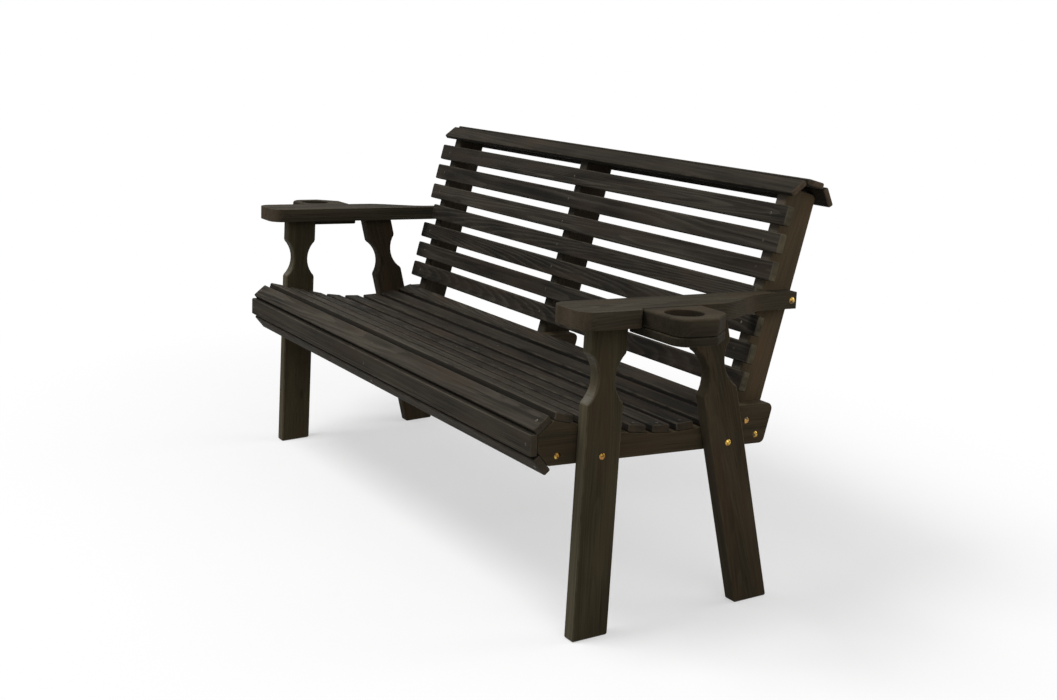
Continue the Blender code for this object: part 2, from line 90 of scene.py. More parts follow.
# %% [markdown]
# ## Shader sums as Python
#
# A material is a graph of nodes, and joining nodes one by one hides the thought behind it. This small class
# wraps one output socket, so that a sum such as `1 - mask` adds the Math node by itself. Every other node
# comes from one method: its type, its settings, and the values or links of its sockets.
#
# %% A socket that can be added and multiplied
class Wire:
    """An output socket of a node tree; operators on it add Math nodes and give the next socket."""

    def __init__(self, tree, socket=None):
        self.tree, self.socket = tree, socket

    def add(self, kind, settings=None, inputs=None, output=0):
        node = self.tree.nodes.new(kind)
        for name, value in (settings or {}).items():
            setattr(node, name, value)
        for name, value in (inputs or {}).items():
            if isinstance(value, Wire):
                self.tree.links.new(value.socket, node.inputs[name])
            else:
                node.inputs[name].default_value = value
        return Wire(self.tree, node.outputs[output] if len(node.outputs) else None)

    def maths(self, operation, *values):
        return self.add("ShaderNodeMath", {"operation": operation}, dict(enumerate(values)))

    def __add__(self, other):
        return self.maths("ADD", self, other)

    __radd__ = __add__

    def __sub__(self, other):
        return self.maths("SUBTRACT", self, other)

    def __rsub__(self, other):
        return self.maths("SUBTRACT", other, self)

    def __mul__(self, other):
        return self.maths("MULTIPLY", self, other)

    __rmul__ = __mul__

    def __truediv__(self, other):
        return self.maths("DIVIDE", self, other)

    def __rtruediv__(self, other):
        return self.maths("DIVIDE", other, self)

    def step(self, low, high):
        """Rises smoothly from 0 at low to 1 at high; low may be the larger."""
        inputs = {0: self, 1: low, 2: high, 3: 0.0, 4: 1.0}
        return self.add("ShaderNodeMapRange", {"interpolation_type": "SMOOTHSTEP"}, inputs)

    def stretch(self, x, y, z):
        """A vector with its three parts scaled."""
        return self.add("ShaderNodeVectorMath", {"operation": "MULTIPLY"}, {0: self, 1: (x, y, z)})

    def noise(self, detail=2.0, roughness=0.5):
        """Soft noise around 0, read at this vector."""
        inputs = {"Vector": self, "Scale": 1.0, "Detail": detail, "Roughness": roughness}
        return self.add("ShaderNodeTexNoise", {"noise_dimensions": "3D"}, inputs) - 0.5

    def blend(self, first, second):
        """First colour where this is 0, second where it is 1."""
        settings = {"data_type": "RGBA", "clamp_factor": True}
        return self.add("ShaderNodeMix", settings, {0: self, 6: first, 7: second}, 2)


def blank_material(name):
    material = bpy.data.materials.new(name)
    material.use_nodes = True
    material.node_tree.nodes.clear()
    return material, Wire(material.node_tree)


def colour(red, green, blue):
    """Screen colour, 0 to 255, as the linear colour that a shader takes."""
    channels = [c / 255 for c in (red, green, blue)]
    return tuple(c / 12.92 if c <= 0.04045 else ((c + 0.055) / 1.055) ** 2.4 for c in channels) + (1.0,)


print("a mid grey of 128 is", round(colour(128, 128, 128)[0], 3), "in a shader")

# %% [markdown]
# ## Studio
#
# The bench stands on a plain white sweep. A pale floor under a dim even sky and three large soft lamps gives that:
# the key lamp hangs high in front, so tops and fronts are lighter than ends, and two weak ones open up the near
# end and the back. The far floor fades to pure white, and the near floor shows almost white, only where it is
# looked at or mirrored. For the light that it throws back it is a pale grey, so that what is under the bench
# stays dark.
#
# %% Lay the floor
FLOOR_HALF, FLOOR_TILES = 9.0, 8
FLOOR_SHOWN, FLOOR_THROWN = colour(252, 252, 252), colour(168, 168, 168)
FADE_START, FADE_END = 0.70, 1.65
FADE_LENGTHWISE = 0.62
FADE_NEAR = 0.45


def is_looked_at(graph):
    """1 for what the camera sees, straight, mirrored or through glass, and 0 for light on its way to a surface."""
    rays = graph.add("ShaderNodeLightPath", output="Is Camera Ray")
    for kind in ("Glossy", "Transmission"):
        rays = rays.maths("MAXIMUM", rays, graph.add("ShaderNodeLightPath", output="Is " + kind + " Ray"))
    return rays


shape = bmesh.new()
bmesh.ops.create_grid(shape, x_segments=FLOOR_TILES, y_segments=FLOOR_TILES, size=FLOOR_HALF)
floor_mesh = bpy.data.meshes.new("floor")
shape.to_mesh(floor_mesh)
shape.free()
floor = bpy.data.objects.new("floor", floor_mesh)
bpy.context.scene.collection.objects.link(floor)

material, graph = blank_material("white_sweep")
place = graph.add("ShaderNodeTexCoord", output="Object")
oval = place.stretch(FADE_LENGTHWISE, 1, 1)
distance = graph.add("ShaderNodeVectorMath", {"operation": "LENGTH"}, {0: oval}, "Value")
looked_at = is_looked_at(graph)
matt = graph.add("ShaderNodeBsdfDiffuse", inputs={"Color": looked_at.blend(FLOOR_THROWN, FLOOR_SHOWN)})
white = graph.add("ShaderNodeEmission", inputs={"Color": (1, 1, 1, 1), "Strength": 1.0})
faded = (FADE_NEAR + (1 - FADE_NEAR) * distance.step(FADE_START, FADE_END)) * looked_at
surface = graph.add("ShaderNodeMixShader", inputs={0: faded, 1: matt, 2: white})
graph.add("ShaderNodeOutputMaterial", inputs={"Surface": surface})
floor_mesh.materials.append(material)
print(f"floor {2 * FLOOR_HALF:.0f} m square")

# %% Light the studio
SKY_LEVEL = 0.36
LAMP_AIM = Vector((0, 0, 0.45))

world = bpy.data.worlds.new("studio")
bpy.context.scene.world = world
world.use_nodes = True
world.node_tree.nodes.clear()
graph = Wire(world.node_tree)
sky = graph.add("ShaderNodeBackground", inputs={"Color": (1, 1, 1, 1), "Strength": SKY_LEVEL})
white = graph.add("ShaderNodeBackground", inputs={"Color": (1, 1, 1, 1), "Strength": 1.0})
surface = graph.add("ShaderNodeMixShader", inputs={0: is_looked_at(graph), 1: sky, 2: white})
graph.add("ShaderNodeOutputWorld", inputs={"Surface": surface})


def soft_lamp(name, level, place, size):
    """A rectangular lamp; a white card at the bench that faces it squarely shows at about its level."""
    place = Vector(place)
    lamp_data = bpy.data.lights.new(name, "AREA")
    lamp_data.shape = "RECTANGLE"
    lamp_data.size, lamp_data.size_y = size
    lamp_data.energy = level * pi**2 * (place - LAMP_AIM).length_squared
    lamp = bpy.data.objects.new(name, lamp_data)
    lamp.location = place
    lamp.rotation_euler = (LAMP_AIM - place).to_track_quat("-Z", "Y").to_euler()
    bpy.context.scene.collection.objects.link(lamp)
    print(f"{name}: {lamp_data.energy:.0f} W")


soft_lamp("key_lamp", 0.68, (-0.6, -2.1, 4.8), (2.6, 1.8))
soft_lamp("end_lamp", 0.17, (4.2, -0.4, 2.6), (3.0, 2.6))
soft_lamp("back_lamp", 0.24, (1.4, 4.4, 2.8), (3.6, 2.4))

# %% [markdown]
# ## Stained pine
#
# The boards are fast-grown pine under a dark, slightly grey stain. On the flat faces the rings of the tree show
# as long pointed arches, on the edges as straight lines, and on sawn ends as arcs. A flat picture can't do all
# three, so the wood is solid: rings are drawn round the heart of the tree, which lies somewhere beside each
# board, and every face cuts through them as a saw would. The boards carry their place in the tree as an
# attribute called grain: along the fibres, across them, and through the board.
#
# %% How large the marks of the wood are
# Changes per metre of each mark, along the fibres and across them
MARK_SCALES = {
    "sway": (1.3, 8), "tremor": (12, 80), "clearness": (1.6, 20), "fibre": (14, 560), "streak": (1.5, 120),
    "check": (3.2, 210), "drift": (3.0, 16), "brown": (4.5, 22), "saw_lines": (420, 60), "worn": (26, 60),
    "knot": (2.2, 7.0)}
FINE_DETAIL, FINE_ROUGHNESS = 3.0, 0.6

RING_WIDTH, RING_SWAY, RING_TREMOR, KNOT_PULL = 0.0044, 0.015, 0.0026, 0.008
RING_SOFT, RING_HARD, RING_END = 0.36, 0.86, 0.92
KNOT_REACH, KNOT_HEART, CORE_RIM, CORE_FULL = 0.30, 0.02, 0.060, 0.030
print(len(MARK_SCALES), "kinds of marks, rings", RING_WIDTH * 1000, "mm apart")

# %% How strong the marks are
# How much each mark lightens or darkens the stain, and how far it stands up or sinks in
SHADE_OF = {"fibre": 0.6, "streak": 1.05, "check": 0.5, "drift": 1.3, "tone": 0.16, "core": 0.5}
RELIEF_OF = {"ring": 0.5, "fibre": 0.9, "streak": 0.4, "core": 0.5, "check": 0.8, "saw_lines": 1.6}
ROUGHNESS_OF = {"ring": 0.08, "fibre": 0.25, "sawn": 0.12}

CLEAR_USUAL, CLEAR_CHANGE, CLEAR_LEAST = 0.46, 1.3, 0.1
CHECK_START, CHECK_FULL = 0.10, 0.24
SHADE_DARKEST, SHADE_LIGHTEST = -0.55, 1.05
BROWN_START, BROWN_FULL, BROWN_SHARE = -0.10, 0.28, 0.65
EDGE_SHARE, EDGE_STREAKS = 0.55, 1.2
SAWN_SHARE, SAWN_LINES, SAWN_DRIFT = 0.58, 1.1, 0.9
RUBBED_AND_HIGHLIGHT_SHARE, RUBBED_AND_HIGHLIGHT_PATCHES = 0.26, 1.5
MATT, SHEEN, RELIEF_STRENGTH, RELIEF_HEIGHT = 0.74, 0.04, 0.5, 0.0007
print(f"marks stand up by at most {RELIEF_HEIGHT * 1000:.1f} mm")


# %% The stain and the rings under it
def stained_pine(name, figure, lined, soft, hard, warm, sawn, rubbed, edge):
    """Stained softwood, from how clear its rings and its fine lines are, and its tones: between rings, on rings,
    in brown drifts, on sawn ends, which are painted darker as shade on the rear legs, rails and cup blocks, on
    rubbed corners, where wear and a painted highlight lighten them, and on narrow faces, where the slats' and
    cap boards' dark tone is painted shade in the gaps between the boards."""
    material, graph = blank_material(name)
    grain = graph.add("ShaderNodeAttribute", {"attribute_name": "grain"}, output="Vector")
    share = {}
    for key in ("rubbed", "sawn", "edge", "tone"):
        share[key] = graph.add("ShaderNodeAttribute", {"attribute_name": key}, output="Fac")

    def scaled(key):
        lengthwise, crosswise = MARK_SCALES[key]
        return grain.stretch(lengthwise, crosswise, crosswise)

    cross = grain.stretch(0, 1, 1)
    from_heart = graph.add("ShaderNodeVectorMath", {"operation": "LENGTH"}, {0: cross}, "Value")
    knot_inputs = {"Vector": scaled("knot"), "Scale": 1.0}
    knot = graph.add("ShaderNodeTexVoronoi", {"feature": "F1"}, knot_inputs, "Distance")
    swirl = knot.step(KNOT_REACH, KNOT_HEART)
    core = knot.step(CORE_RIM, CORE_FULL)
    wander = scaled("sway").noise() * RING_SWAY + scaled("tremor").noise() * RING_TREMOR
    age = (from_heart + wander + swirl * swirl * KNOT_PULL) / RING_WIDTH
    ring = age.maths("FRACT", age)
    ring = ring.step(RING_SOFT, RING_HARD) * ring.step(1.0, RING_END)
    clearness = scaled("clearness").noise() * CLEAR_CHANGE + CLEAR_USUAL
    clearness = clearness.maths("MAXIMUM", clearness, CLEAR_LEAST)

    fibre = scaled("fibre").noise(FINE_DETAIL, FINE_ROUGHNESS)
    streak = scaled("streak").noise(FINE_DETAIL, FINE_ROUGHNESS)
    worn = scaled("worn").noise(FINE_DETAIL, FINE_ROUGHNESS)
    check = scaled("check").noise(roughness=FINE_ROUGHNESS).step(CHECK_START, CHECK_FULL)
    drift, brown, saw_lines = (scaled(key).noise() for key in ("drift", "brown", "saw_lines"))

    lines = fibre * SHADE_OF["fibre"] + streak * SHADE_OF["streak"] - check * SHADE_OF["check"]
    shade = ring * clearness * figure + lines * lined
    shade = shade + drift * SHADE_OF["drift"] + share["tone"] * SHADE_OF["tone"] - core * SHADE_OF["core"]
    tint = shade.step(SHADE_DARKEST, SHADE_LIGHTEST).blend(soft, hard)
    tint = (brown.step(BROWN_START, BROWN_FULL) * BROWN_SHARE).blend(tint, warm)
    # Narrow faces: on slats and cap boards the dark tone is painted shade in the gaps between boards. On the near
    # upright the pale grey is painted light on its front edge.
    tint = (share["edge"] * (EDGE_SHARE + streak * EDGE_STREAKS)).blend(tint, edge)
    tint = (share["sawn"] * (SAWN_SHARE + saw_lines * SAWN_LINES + drift * SAWN_DRIFT)).blend(tint, sawn)
    # Rubbed corners are lighter as wear, and as a painted highlight along the rounded edges.
    tint = (share["rubbed"] * (RUBBED_AND_HIGHLIGHT_SHARE + worn * RUBBED_AND_HIGHLIGHT_PATCHES)).blend(tint, rubbed)

    relief = ring * RELIEF_OF["ring"] + fibre * RELIEF_OF["fibre"] + streak * RELIEF_OF["streak"]
    relief = relief - core * RELIEF_OF["core"] - check * RELIEF_OF["check"]
    relief = relief + share["sawn"] * saw_lines * RELIEF_OF["saw_lines"]
    bump_inputs = {"Strength": RELIEF_STRENGTH, "Distance": RELIEF_HEIGHT, "Height": relief}
    bump = graph.add("ShaderNodeBump", inputs=bump_inputs, output="Normal")
    rough = MATT - ring * ROUGHNESS_OF["ring"] + fibre * ROUGHNESS_OF["fibre"]
    shader = graph.add("ShaderNodeBsdfPrincipled", inputs={
        "Base Color": tint,
        "Roughness": rough + share["sawn"] * ROUGHNESS_OF["sawn"],
        "Specular IOR Level": SHEEN,
        "Normal": bump,
    })
    graph.add("ShaderNodeOutputMaterial", inputs={"Surface": shader})
    return material


print("one recipe, for every stain on the bench")

# %% [markdown]
# ## One stain for each kind of board
#
# The boards were stained by hand, and each kind of board took the stain in its own way: the slats came out dark
# and grey, the frame browner, and most sawn ends pale. Some tones are painted light and shade: the near
# upright's paler stain is painted light and the other uprights' darker one painted shade, the dark sawn faces of
# the rear legs, rails and cup blocks are painted shade, the slats' and cap boards' dark narrow faces are painted
# shade in the gaps, and the rubbed corners carry a painted highlight. One recipe gives them all, each with its
# own tones as they show on the screen.
#
# %% Mix the stains
def mixed(kind, figure, lined, **tones):
    """A stain from how clear the rings and lines of the wood are under it, and its tones on the screen."""
    shader_tones = {use: colour(*tone) for use, tone in tones.items()}
    return stained_pine("stained_pine_" + kind, figure, lined, **shader_tones)


pine_legs = mixed(
    "legs", figure=0.22, lined=0.75, soft=(39, 35, 26), hard=(78, 71, 53), warm=(64, 52, 38),
    sawn=(150, 146, 136), rubbed=(94, 86, 68), edge=(98, 92, 74))
# The rear legs and rails take this stain. Its dark sawn tone is painted shade, deepest in the rear legs' sawn front
# hollows behind the front legs and arms.
pine_frame_shaded_ends = mixed(
    "frame", figure=0.24, lined=0.8, soft=(40, 35, 26), hard=(79, 69, 53), warm=(66, 52, 38),
    sawn=(60, 56, 46), rubbed=(88, 79, 62), edge=(60, 55, 44))
# The near upright's pale stain and pale grey front edges are painted light, as on a side and an edge that the lamps
# light. The darker stain of the other uprights below is painted shade from the slats in front of them.
pine_near_upright_painted_lit = mixed(
    "near_upright", figure=0.12, lined=0.40, soft=(63, 54, 41), hard=(112, 97, 75), warm=(90, 72, 52),
    sawn=(96, 86, 70), rubbed=(96, 86, 68), edge=(96, 93, 87))
pine_uprights_painted_shade = mixed(
    "uprights", figure=0.3, lined=0.8, soft=(31, 27, 22), hard=(62, 54, 44), warm=(50, 40, 31),
    sawn=(60, 54, 45), rubbed=(70, 65, 56), edge=(62, 59, 53))
# The dark edge tone of the slats, and of the back slats and cap boards below, is painted shade in the gaps.
pine_slats = mixed(
    "slats", figure=0.66, lined=1.0, soft=(27, 25, 22), hard=(76, 71, 62), warm=(58, 48, 39),
    sawn=(70, 61, 49), rubbed=(86, 80, 69), edge=(24, 22, 19))
pine_back_slats = mixed(
    "back_slats", figure=0.72, lined=1.0, soft=(27, 25, 22), hard=(76, 71, 63), warm=(57, 48, 40),
    sawn=(100, 92, 73), rubbed=(84, 78, 67), edge=(24, 22, 19))
pine_caps = mixed(
    "caps", figure=0.26, lined=0.8, soft=(34, 31, 26), hard=(72, 67, 58), warm=(60, 51, 41),
    sawn=(98, 82, 66), rubbed=(80, 74, 63), edge=(26, 23, 19))
pine_arms = mixed(
    "arms", figure=0.6, lined=1.1, soft=(31, 28, 22), hard=(71, 66, 54), warm=(62, 52, 40),
    sawn=(78, 68, 56), rubbed=(96, 88, 72), edge=(60, 54, 43))
# The blocks' dark sawn tone is painted shade: the shadow of the arms' paddles on the blocks' sawn fronts.
pine_blocks_shaded_ends = mixed(
    "blocks", figure=0.5, lined=1.0, soft=(38, 34, 27), hard=(76, 69, 56), warm=(66, 55, 41),
    sawn=(36, 33, 27), rubbed=(76, 69, 56), edge=(60, 54, 43))
STAINS = {"leg_front": pine_legs, "leg_rear": pine_frame_shaded_ends, "rail": pine_frame_shaded_ends, "upright_left": pine_near_upright_painted_lit,
          "upright": pine_uprights_painted_shade, "cap_board": pine_caps, "arm": pine_arms, "cup": pine_blocks_shaded_ends,
          "back_slat": pine_back_slats}
print(len(STAINS), "families of boards with a stain of their own, and the slats' one for the rest")

# %% [markdown]
# ## From solids to boards
#
# A sawn board has no sharp edge: it has been rounded over and sanded. Each board starts as a copy of its packed
# solid, which already has the right outline and bolt holes. The copy's triangles are merged into whole faces and
# its chamfers are rounded once more, and then it gets what the stain needs: its place in the tree, where
# its edges are rubbed and take a painted highlight, and where the saw went across the fibres.
#
# %% Copy a solid and round its chamfers
CHAMFER_LOW, CHAMFER_HIGH = radians(30), radians(60)
ROUND_OVER = 0.0011
SAME_POINT, SAME_FACE, NO_LENGTH = 2e-5, radians(0.6), 1e-5


def rounded_copy(node):
    """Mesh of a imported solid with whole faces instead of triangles, and its chamfers rounded."""
    shape = bmesh.new()
    shape.from_mesh(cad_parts[node].data)
    bmesh.ops.remove_doubles(shape, verts=shape.verts, dist=SAME_POINT)
    bmesh.ops.dissolve_limit(shape, angle_limit=SAME_FACE, verts=shape.verts, edges=shape.edges)
    turning = []
    for edge in shape.edges:
        if len(edge.link_faces) == 2 and CHAMFER_LOW < edge.calc_face_angle() < CHAMFER_HIGH:
            turning.append(edge)
    bmesh.ops.bevel(
        shape, geom=turning, offset=ROUND_OVER, segments=1, profile=0.5, affect="EDGES", clamp_overlap=True)
    bmesh.ops.dissolve_degenerate(shape, dist=NO_LENGTH, edges=shape.edges)
    bmesh.ops.recalc_face_normals(shape, faces=shape.faces)
    return shape


trial = rounded_copy("leg_front_left")
print("leg_front_left:", len(trial.faces), "faces")
trial.free()

# %% Place a board in its tree
HEART_NEAR, HEART_FAR, HEART_BESIDE = 0.018, 0.085, 0.035
LEAN_ACROSS, LEAN_THROUGH = 0.02, 0.055
STRAIGHT_GRAINED, STRAIGHT_LEAN = ("nose_slat_upper", "seat_slat_1", "cap_board_front"), 0.2
TREE_LENGTH, RING_FINEST, RING_WIDEST = 40, 0.85, 1.25


def board_axes(shape, fibres):
    """Along the fibres, across them in the board's widest face, and through the board."""
    widest = max(shape.faces, key=lambda face: face.calc_area())
    through = widest.normal.normalized()
    along = (fibres - through * fibres.dot(through)).normalized()
    return along, through.cross(along), through


def tree_place(name, axes, centre):
    """Function from a point of the bench to its place in the tree that this board was sawn from."""
    draw = random.Random(name)
    beside = draw.uniform(-HEART_BESIDE, HEART_BESIDE)
    behind = draw.choice((-1, 1)) * draw.uniform(HEART_NEAR, HEART_FAR)
    steep = STRAIGHT_LEAN if name in STRAIGHT_GRAINED else 1.0
    lean_across = steep * draw.uniform(-LEAN_ACROSS, LEAN_ACROSS)
    lean_through = steep * draw.uniform(-LEAN_THROUGH, LEAN_THROUGH)
    start, scale = draw.uniform(0, TREE_LENGTH), draw.uniform(RING_FINEST, RING_WIDEST)

    def place(point):
        run, across, through = (axis.dot(point - centre) for axis in axes)
        across, through = beside + across + lean_across * run, behind + through + lean_through * run
        return start + run, scale * across, scale * through

    return place, draw.uniform(-1, 1)


print("trees of", HEART_NEAR * 1000, "to", HEART_FAR * 1000, "mm from heart to board")

# %% Tell flat faces from rounded, sawn and narrow ones
FLAT_DOT, EDGE_DOT = 0.985, 0.17
SAWN_LOW, SAWN_RISE, NARROW_DOT = 0.25, 0.60, 0.90


def is_flat(face, axes, swept_along):
    """Whether a face is one of the board's flat or sawn faces, and not part of a rounded edge."""
    dots = [abs(face.normal.dot(axis)) for axis in axes]
    if swept_along:
        return max(dots) > FLAT_DOT
    return dots[2] > FLAT_DOT or dots[2] < EDGE_DOT


def rubbed_shares(shape, axes, swept_along):
    """For each point of a board, 1 on a rounded corner, which hands and cloths rub and which gets a painted highlight,
    and 0 elsewhere.
    """
    shares = []
    for vertex in shape.verts:
        shares.append(0.0 if any(is_flat(face, axes, swept_along) for face in vertex.link_faces) else 1.0)
    return shares


def sawn_and_edge_shares(mesh, axes, swept_along, edged):
    """For each corner of each face, how far the saw went across the fibres there, and whether it is a narrow edge."""
    sawn, edge = [], []
    for face in mesh.polygons:
        dots = [abs(face.normal.dot(axis)) for axis in axes]
        planed = dots[2] > FLAT_DOT or swept_along and dots[1] > FLAT_DOT
        for corner in face.loop_indices:
            across_fibres = abs(mesh.corner_normals[corner].vector.dot(axes[0]))
            sawn.append(0.0 if planed else min(1.0, max(0.0, (across_fibres - SAWN_LOW) / SAWN_RISE)))
            edge.append(1.0 if edged and dots[1] > NARROW_DOT else 0.0)
    return sawn, edge


print(f"saw marks start where a face turns {SAWN_LOW:.0%} of the way to the fibres' ends")

# %% How deep each board is stained, and its painted light and shade
# Above 0 a board is lighter than its kind and below 0 darker; boards that aren't named here get a random depth,
# which is stain alone. The named depths and rises are partly stain and partly painted light and shade: the low back
# slats and the rear seat slats are painted darker as the shade at the foot of the back, the nose slats and the near
# rail painted lighter as lit faces, the seat slats and low back slats darker towards the bench's left as the
# shadow of the arm, the near upright darker towards its foot as the shade under the arm, and the front cap board
# lighter towards the bench's left where more light falls.
# The rise is the change for each metre along the fibres, to the bench's left or upwards.
DEPTH_OF_STAIN_AND_SHADE = {
    "back_slat_1": -1.3, "back_slat_2": -1.6, "back_slat_3": -0.8, "back_slat_5": -0.4, "back_slat_6": -0.6,
    "seat_slat_1": 0.6, "seat_slat_2": 0.1, "seat_slat_3": -0.8, "seat_slat_4": -0.6, "seat_slat_5": -1.1,
    "seat_slat_6": -1.2, "seat_slat_7": -1.3, "seat_slat_8": -1.3, "nose_slat_upper": 1.0, "nose_slat_front": 1.0,
    "nose_slat_lower": 1.4, "rail_left": 1.3, "leg_front_right": 1.8, "leg_rear_right": -0.2,
    "cap_board_front": -1.0, "upright_left": -0.8}
RISE_OF_STAIN_AND_SHADE = {
    "upright_left": 3.2, "cap_board_front": 1.0, "nose_slat_upper": 0.4, "back_slat_1": -0.8, "back_slat_2": -1.0,
    "seat_slat_5": -1.0, "seat_slat_6": -1.8, "seat_slat_7": -1.6, "seat_slat_8": -1.6}


def stain_of(node):
    """The stain of a board: that of its family, or the slats' one."""
    return next((stain for family, stain in STAINS.items() if node.startswith(family)), pine_slats)


# The named depths and rises counted here hold painted light and shade as well as stain.
print(len(DEPTH_OF_STAIN_AND_SHADE), "boards have a depth of stain of their own, and", len(RISE_OF_STAIN_AND_SHADE), "change along their length")

# %% Dress a board
SHARP_ANGLE = radians(38)


def dress(node, fibres, swept_along=False, edged=False, fitted=None):
    """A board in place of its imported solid, with the attributes that the stain reads, after a last fitting cut."""
    shape = rounded_copy(node)
    if fitted:
        fitted(shape)
    axes = board_axes(shape, fibres)
    low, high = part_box(node)
    centre = (low + high) / 2
    place, tone = tree_place(node, axes, centre)
    # A named depth and rise, stain with painted light and shade, take the place of the random depth of stain.
    tone, rise = DEPTH_OF_STAIN_AND_SHADE.get(node, tone), RISE_OF_STAIN_AND_SHADE.get(node, 0.0)
    rubbed = rubbed_shares(shape, axes, swept_along)
    mesh = bpy.data.meshes.new(node + "_dressed")
    shape.to_mesh(mesh)
    shape.free()
    mesh.shade_smooth()
    mesh.set_sharp_from_angle(angle=SHARP_ANGLE)
    sawn, edge = sawn_and_edge_shares(mesh, axes, swept_along, edged)
    places = [value for vertex in mesh.vertices for value in place(vertex.co)]
    # Tone along the board: stain, with painted light and shade where a rise is named.
    tones = [tone + rise * axes[0].dot(vertex.co - centre) for vertex in mesh.vertices]
    mesh.attributes.new("grain", "FLOAT_VECTOR", "POINT").data.foreach_set("vector", places)
    for name, domain, values in (
            ("rubbed", "POINT", rubbed), ("tone", "POINT", tones), ("sawn", "CORNER", sawn), ("edge", "CORNER", edge)):
        mesh.attributes.new(name, "FLOAT", domain).data.foreach_set("value", values)
    mesh.materials.append(stain_of(node))
    piece = bpy.data.objects.new(node + "_dressed", mesh)
    bpy.context.scene.collection.objects.link(piece)
    weighted = piece.modifiers.new("flat faces stay flat", "WEIGHTED_NORMAL")
    weighted.keep_sharp = True
    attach(piece, BODY)
    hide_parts(node)
    return piece


print(f"edges stay sharp from {SHARP_ANGLE * 180 / pi:.0f} degrees")

# %% [markdown]
# ## Side frames and uprights
#
# Legs, seat rails and uprights are sawn from two-inch boards. Their fibres run the long way of each board,
# so the legs' grain leans with the rake and the rails' grain follows the slope of the seat. The real uprights end
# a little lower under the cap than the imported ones, with a dark hollow above them, so the two corners of each top
# slide down the slopes beside them.
#
# %% Cut the uprights' tops lower
# Back and up: foot of the front slope, the two ends of the top, and foot of the rear slope
TOP_CORNERS = [Vector(corner) for corner in (
    (0.3025, 0.9145), (0.3223, 0.9274), (0.3637, 0.9140), (0.3722, 0.8920))]
TOP_ZONE = 0.030
FRONT_SLIDE, REAR_SLIDE = 0.016, 0.018


def lower_top(shape):
    """Slides the two upper corners of an upright down its front and rear slopes."""
    front = (TOP_CORNERS[0] - TOP_CORNERS[1]).normalized() * FRONT_SLIDE
    rear = (TOP_CORNERS[3] - TOP_CORNERS[2]).normalized() * REAR_SLIDE
    slides = [Vector((0, 0)), front, rear, Vector((0, 0))]
    for vertex in shape.verts:
        away = [(corner - vertex.co.yz).length for corner in TOP_CORNERS]
        if min(away) < TOP_ZONE:
            vertex.co.yz += slides[away.index(min(away))]


print(f"tops slide by {FRONT_SLIDE * 1000:.0f} and {REAR_SLIDE * 1000:.0f} mm")

# %% Dress the frame boards
SEAT_SLOPE = radians(3.8)
FRONT_RAKE, REAR_RAKE, RECLINE = radians(5.0), radians(-9.9), radians(17.85)


def leaning(angle):
    """Upward direction that leans back by an angle."""
    return Vector((0, sin(angle), cos(angle)))


slope = Vector((0, cos(SEAT_SLOPE), -sin(SEAT_SLOPE)))
FRAME_BOARDS = {"leg_front": leaning(FRONT_RAKE), "leg_rear": leaning(REAR_RAKE),
                "rail": slope, "upright": leaning(RECLINE)}
dressed = {}
for family, fibres in FRAME_BOARDS.items():
    for node in sorted(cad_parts):
        if node.startswith(family + "_"):
            fitted = lower_top if family == "upright" else None
            dressed[node] = dress(node, fibres, edged=family != "rail", fitted=fitted)
print(len(dressed), "frame boards")

# %% [markdown]
# ## Slats and cap boards
#
# The slats are narrow boards that run the whole length, with well rounded edges. Each comes from
# another part of another tree, so no two show the same arches. Round the nose of the seat the front slat is
# pushed up tight under the one above it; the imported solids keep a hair's breadth there, which would let light
# through, so the top edge of the front slat's copy is drawn up by a little over two millimetres.
#
# %% Dress the slats
NOSE_TUCK = 0.0024
lengthwise = Vector((1, 0, 0))


def tuck_under(shape):
    """Draws the upper half of a slat up along its own face."""
    _, across, _ = board_axes(shape, lengthwise)
    upward = across if across.z > 0 else -across
    middle = sum((vertex.co for vertex in shape.verts), Vector()) / len(shape.verts)
    for vertex in shape.verts:
        if (vertex.co - middle).dot(upward) > 0:
            vertex.co += upward * NOSE_TUCK


for node in sorted(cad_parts):
    if "slat" in node or node.startswith("cap_board"):
        fitted = tuck_under if node == "nose_slat_front" else None
        dressed[node] = dress(node, lengthwise, swept_along=True, edged=True, fitted=fitted)
print(len(dressed), "boards dressed so far")

# %% [markdown]
# ## Arms and cup holders
#
# The arms are paddles cut from wide boards, and a block with a round hole sits against each. Their fibres run
# from front to back, so the fronts of the arms and blocks are sawn ends. Behind the cup holder the arm keeps
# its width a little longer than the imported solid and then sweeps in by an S-curve, so the points of that edge
# are moved sideways; and the rim of the cup hole is rounded over, as a router leaves it.
#
# %% Redraw the sweep of the arms and ease the cup holes
ARM_NECK, ARM_TAIL = 0.1201, 0.0381
PACKED_RADIUS, PACKED_FOOT = 0.3200, 0.2367
SWEEP_START, SWEEP_END = 0.030, 0.210
RIM_EASE, RIM_STEPS = 0.0025, 3


def packed_width(y):
    """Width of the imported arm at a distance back, where one round curve takes it in to the tail."""
    from_foot = min(max(PACKED_FOOT - y, 0.0), PACKED_RADIUS)
    return min(ARM_NECK, ARM_TAIL + PACKED_RADIUS - sqrt(PACKED_RADIUS**2 - from_foot**2))


def swept_width(y):
    """Width of the real arm there: an S-curve from the neck to the tail."""
    share = min(1.0, max(0.0, (y - SWEEP_START) / (SWEEP_END - SWEEP_START)))
    return ARM_NECK - (ARM_NECK - ARM_TAIL) * share**2 * (3 - 2 * share)


def redraw_sweep(shape):
    """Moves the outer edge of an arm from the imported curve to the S-curve."""
    inner = min(abs(vertex.co.x) for vertex in shape.verts)
    for vertex in shape.verts:
        if abs(vertex.co.x) - inner > ARM_TAIL / 2:
            vertex.co.x += copysign(swept_width(vertex.co.y) - packed_width(vertex.co.y), vertex.co.x)


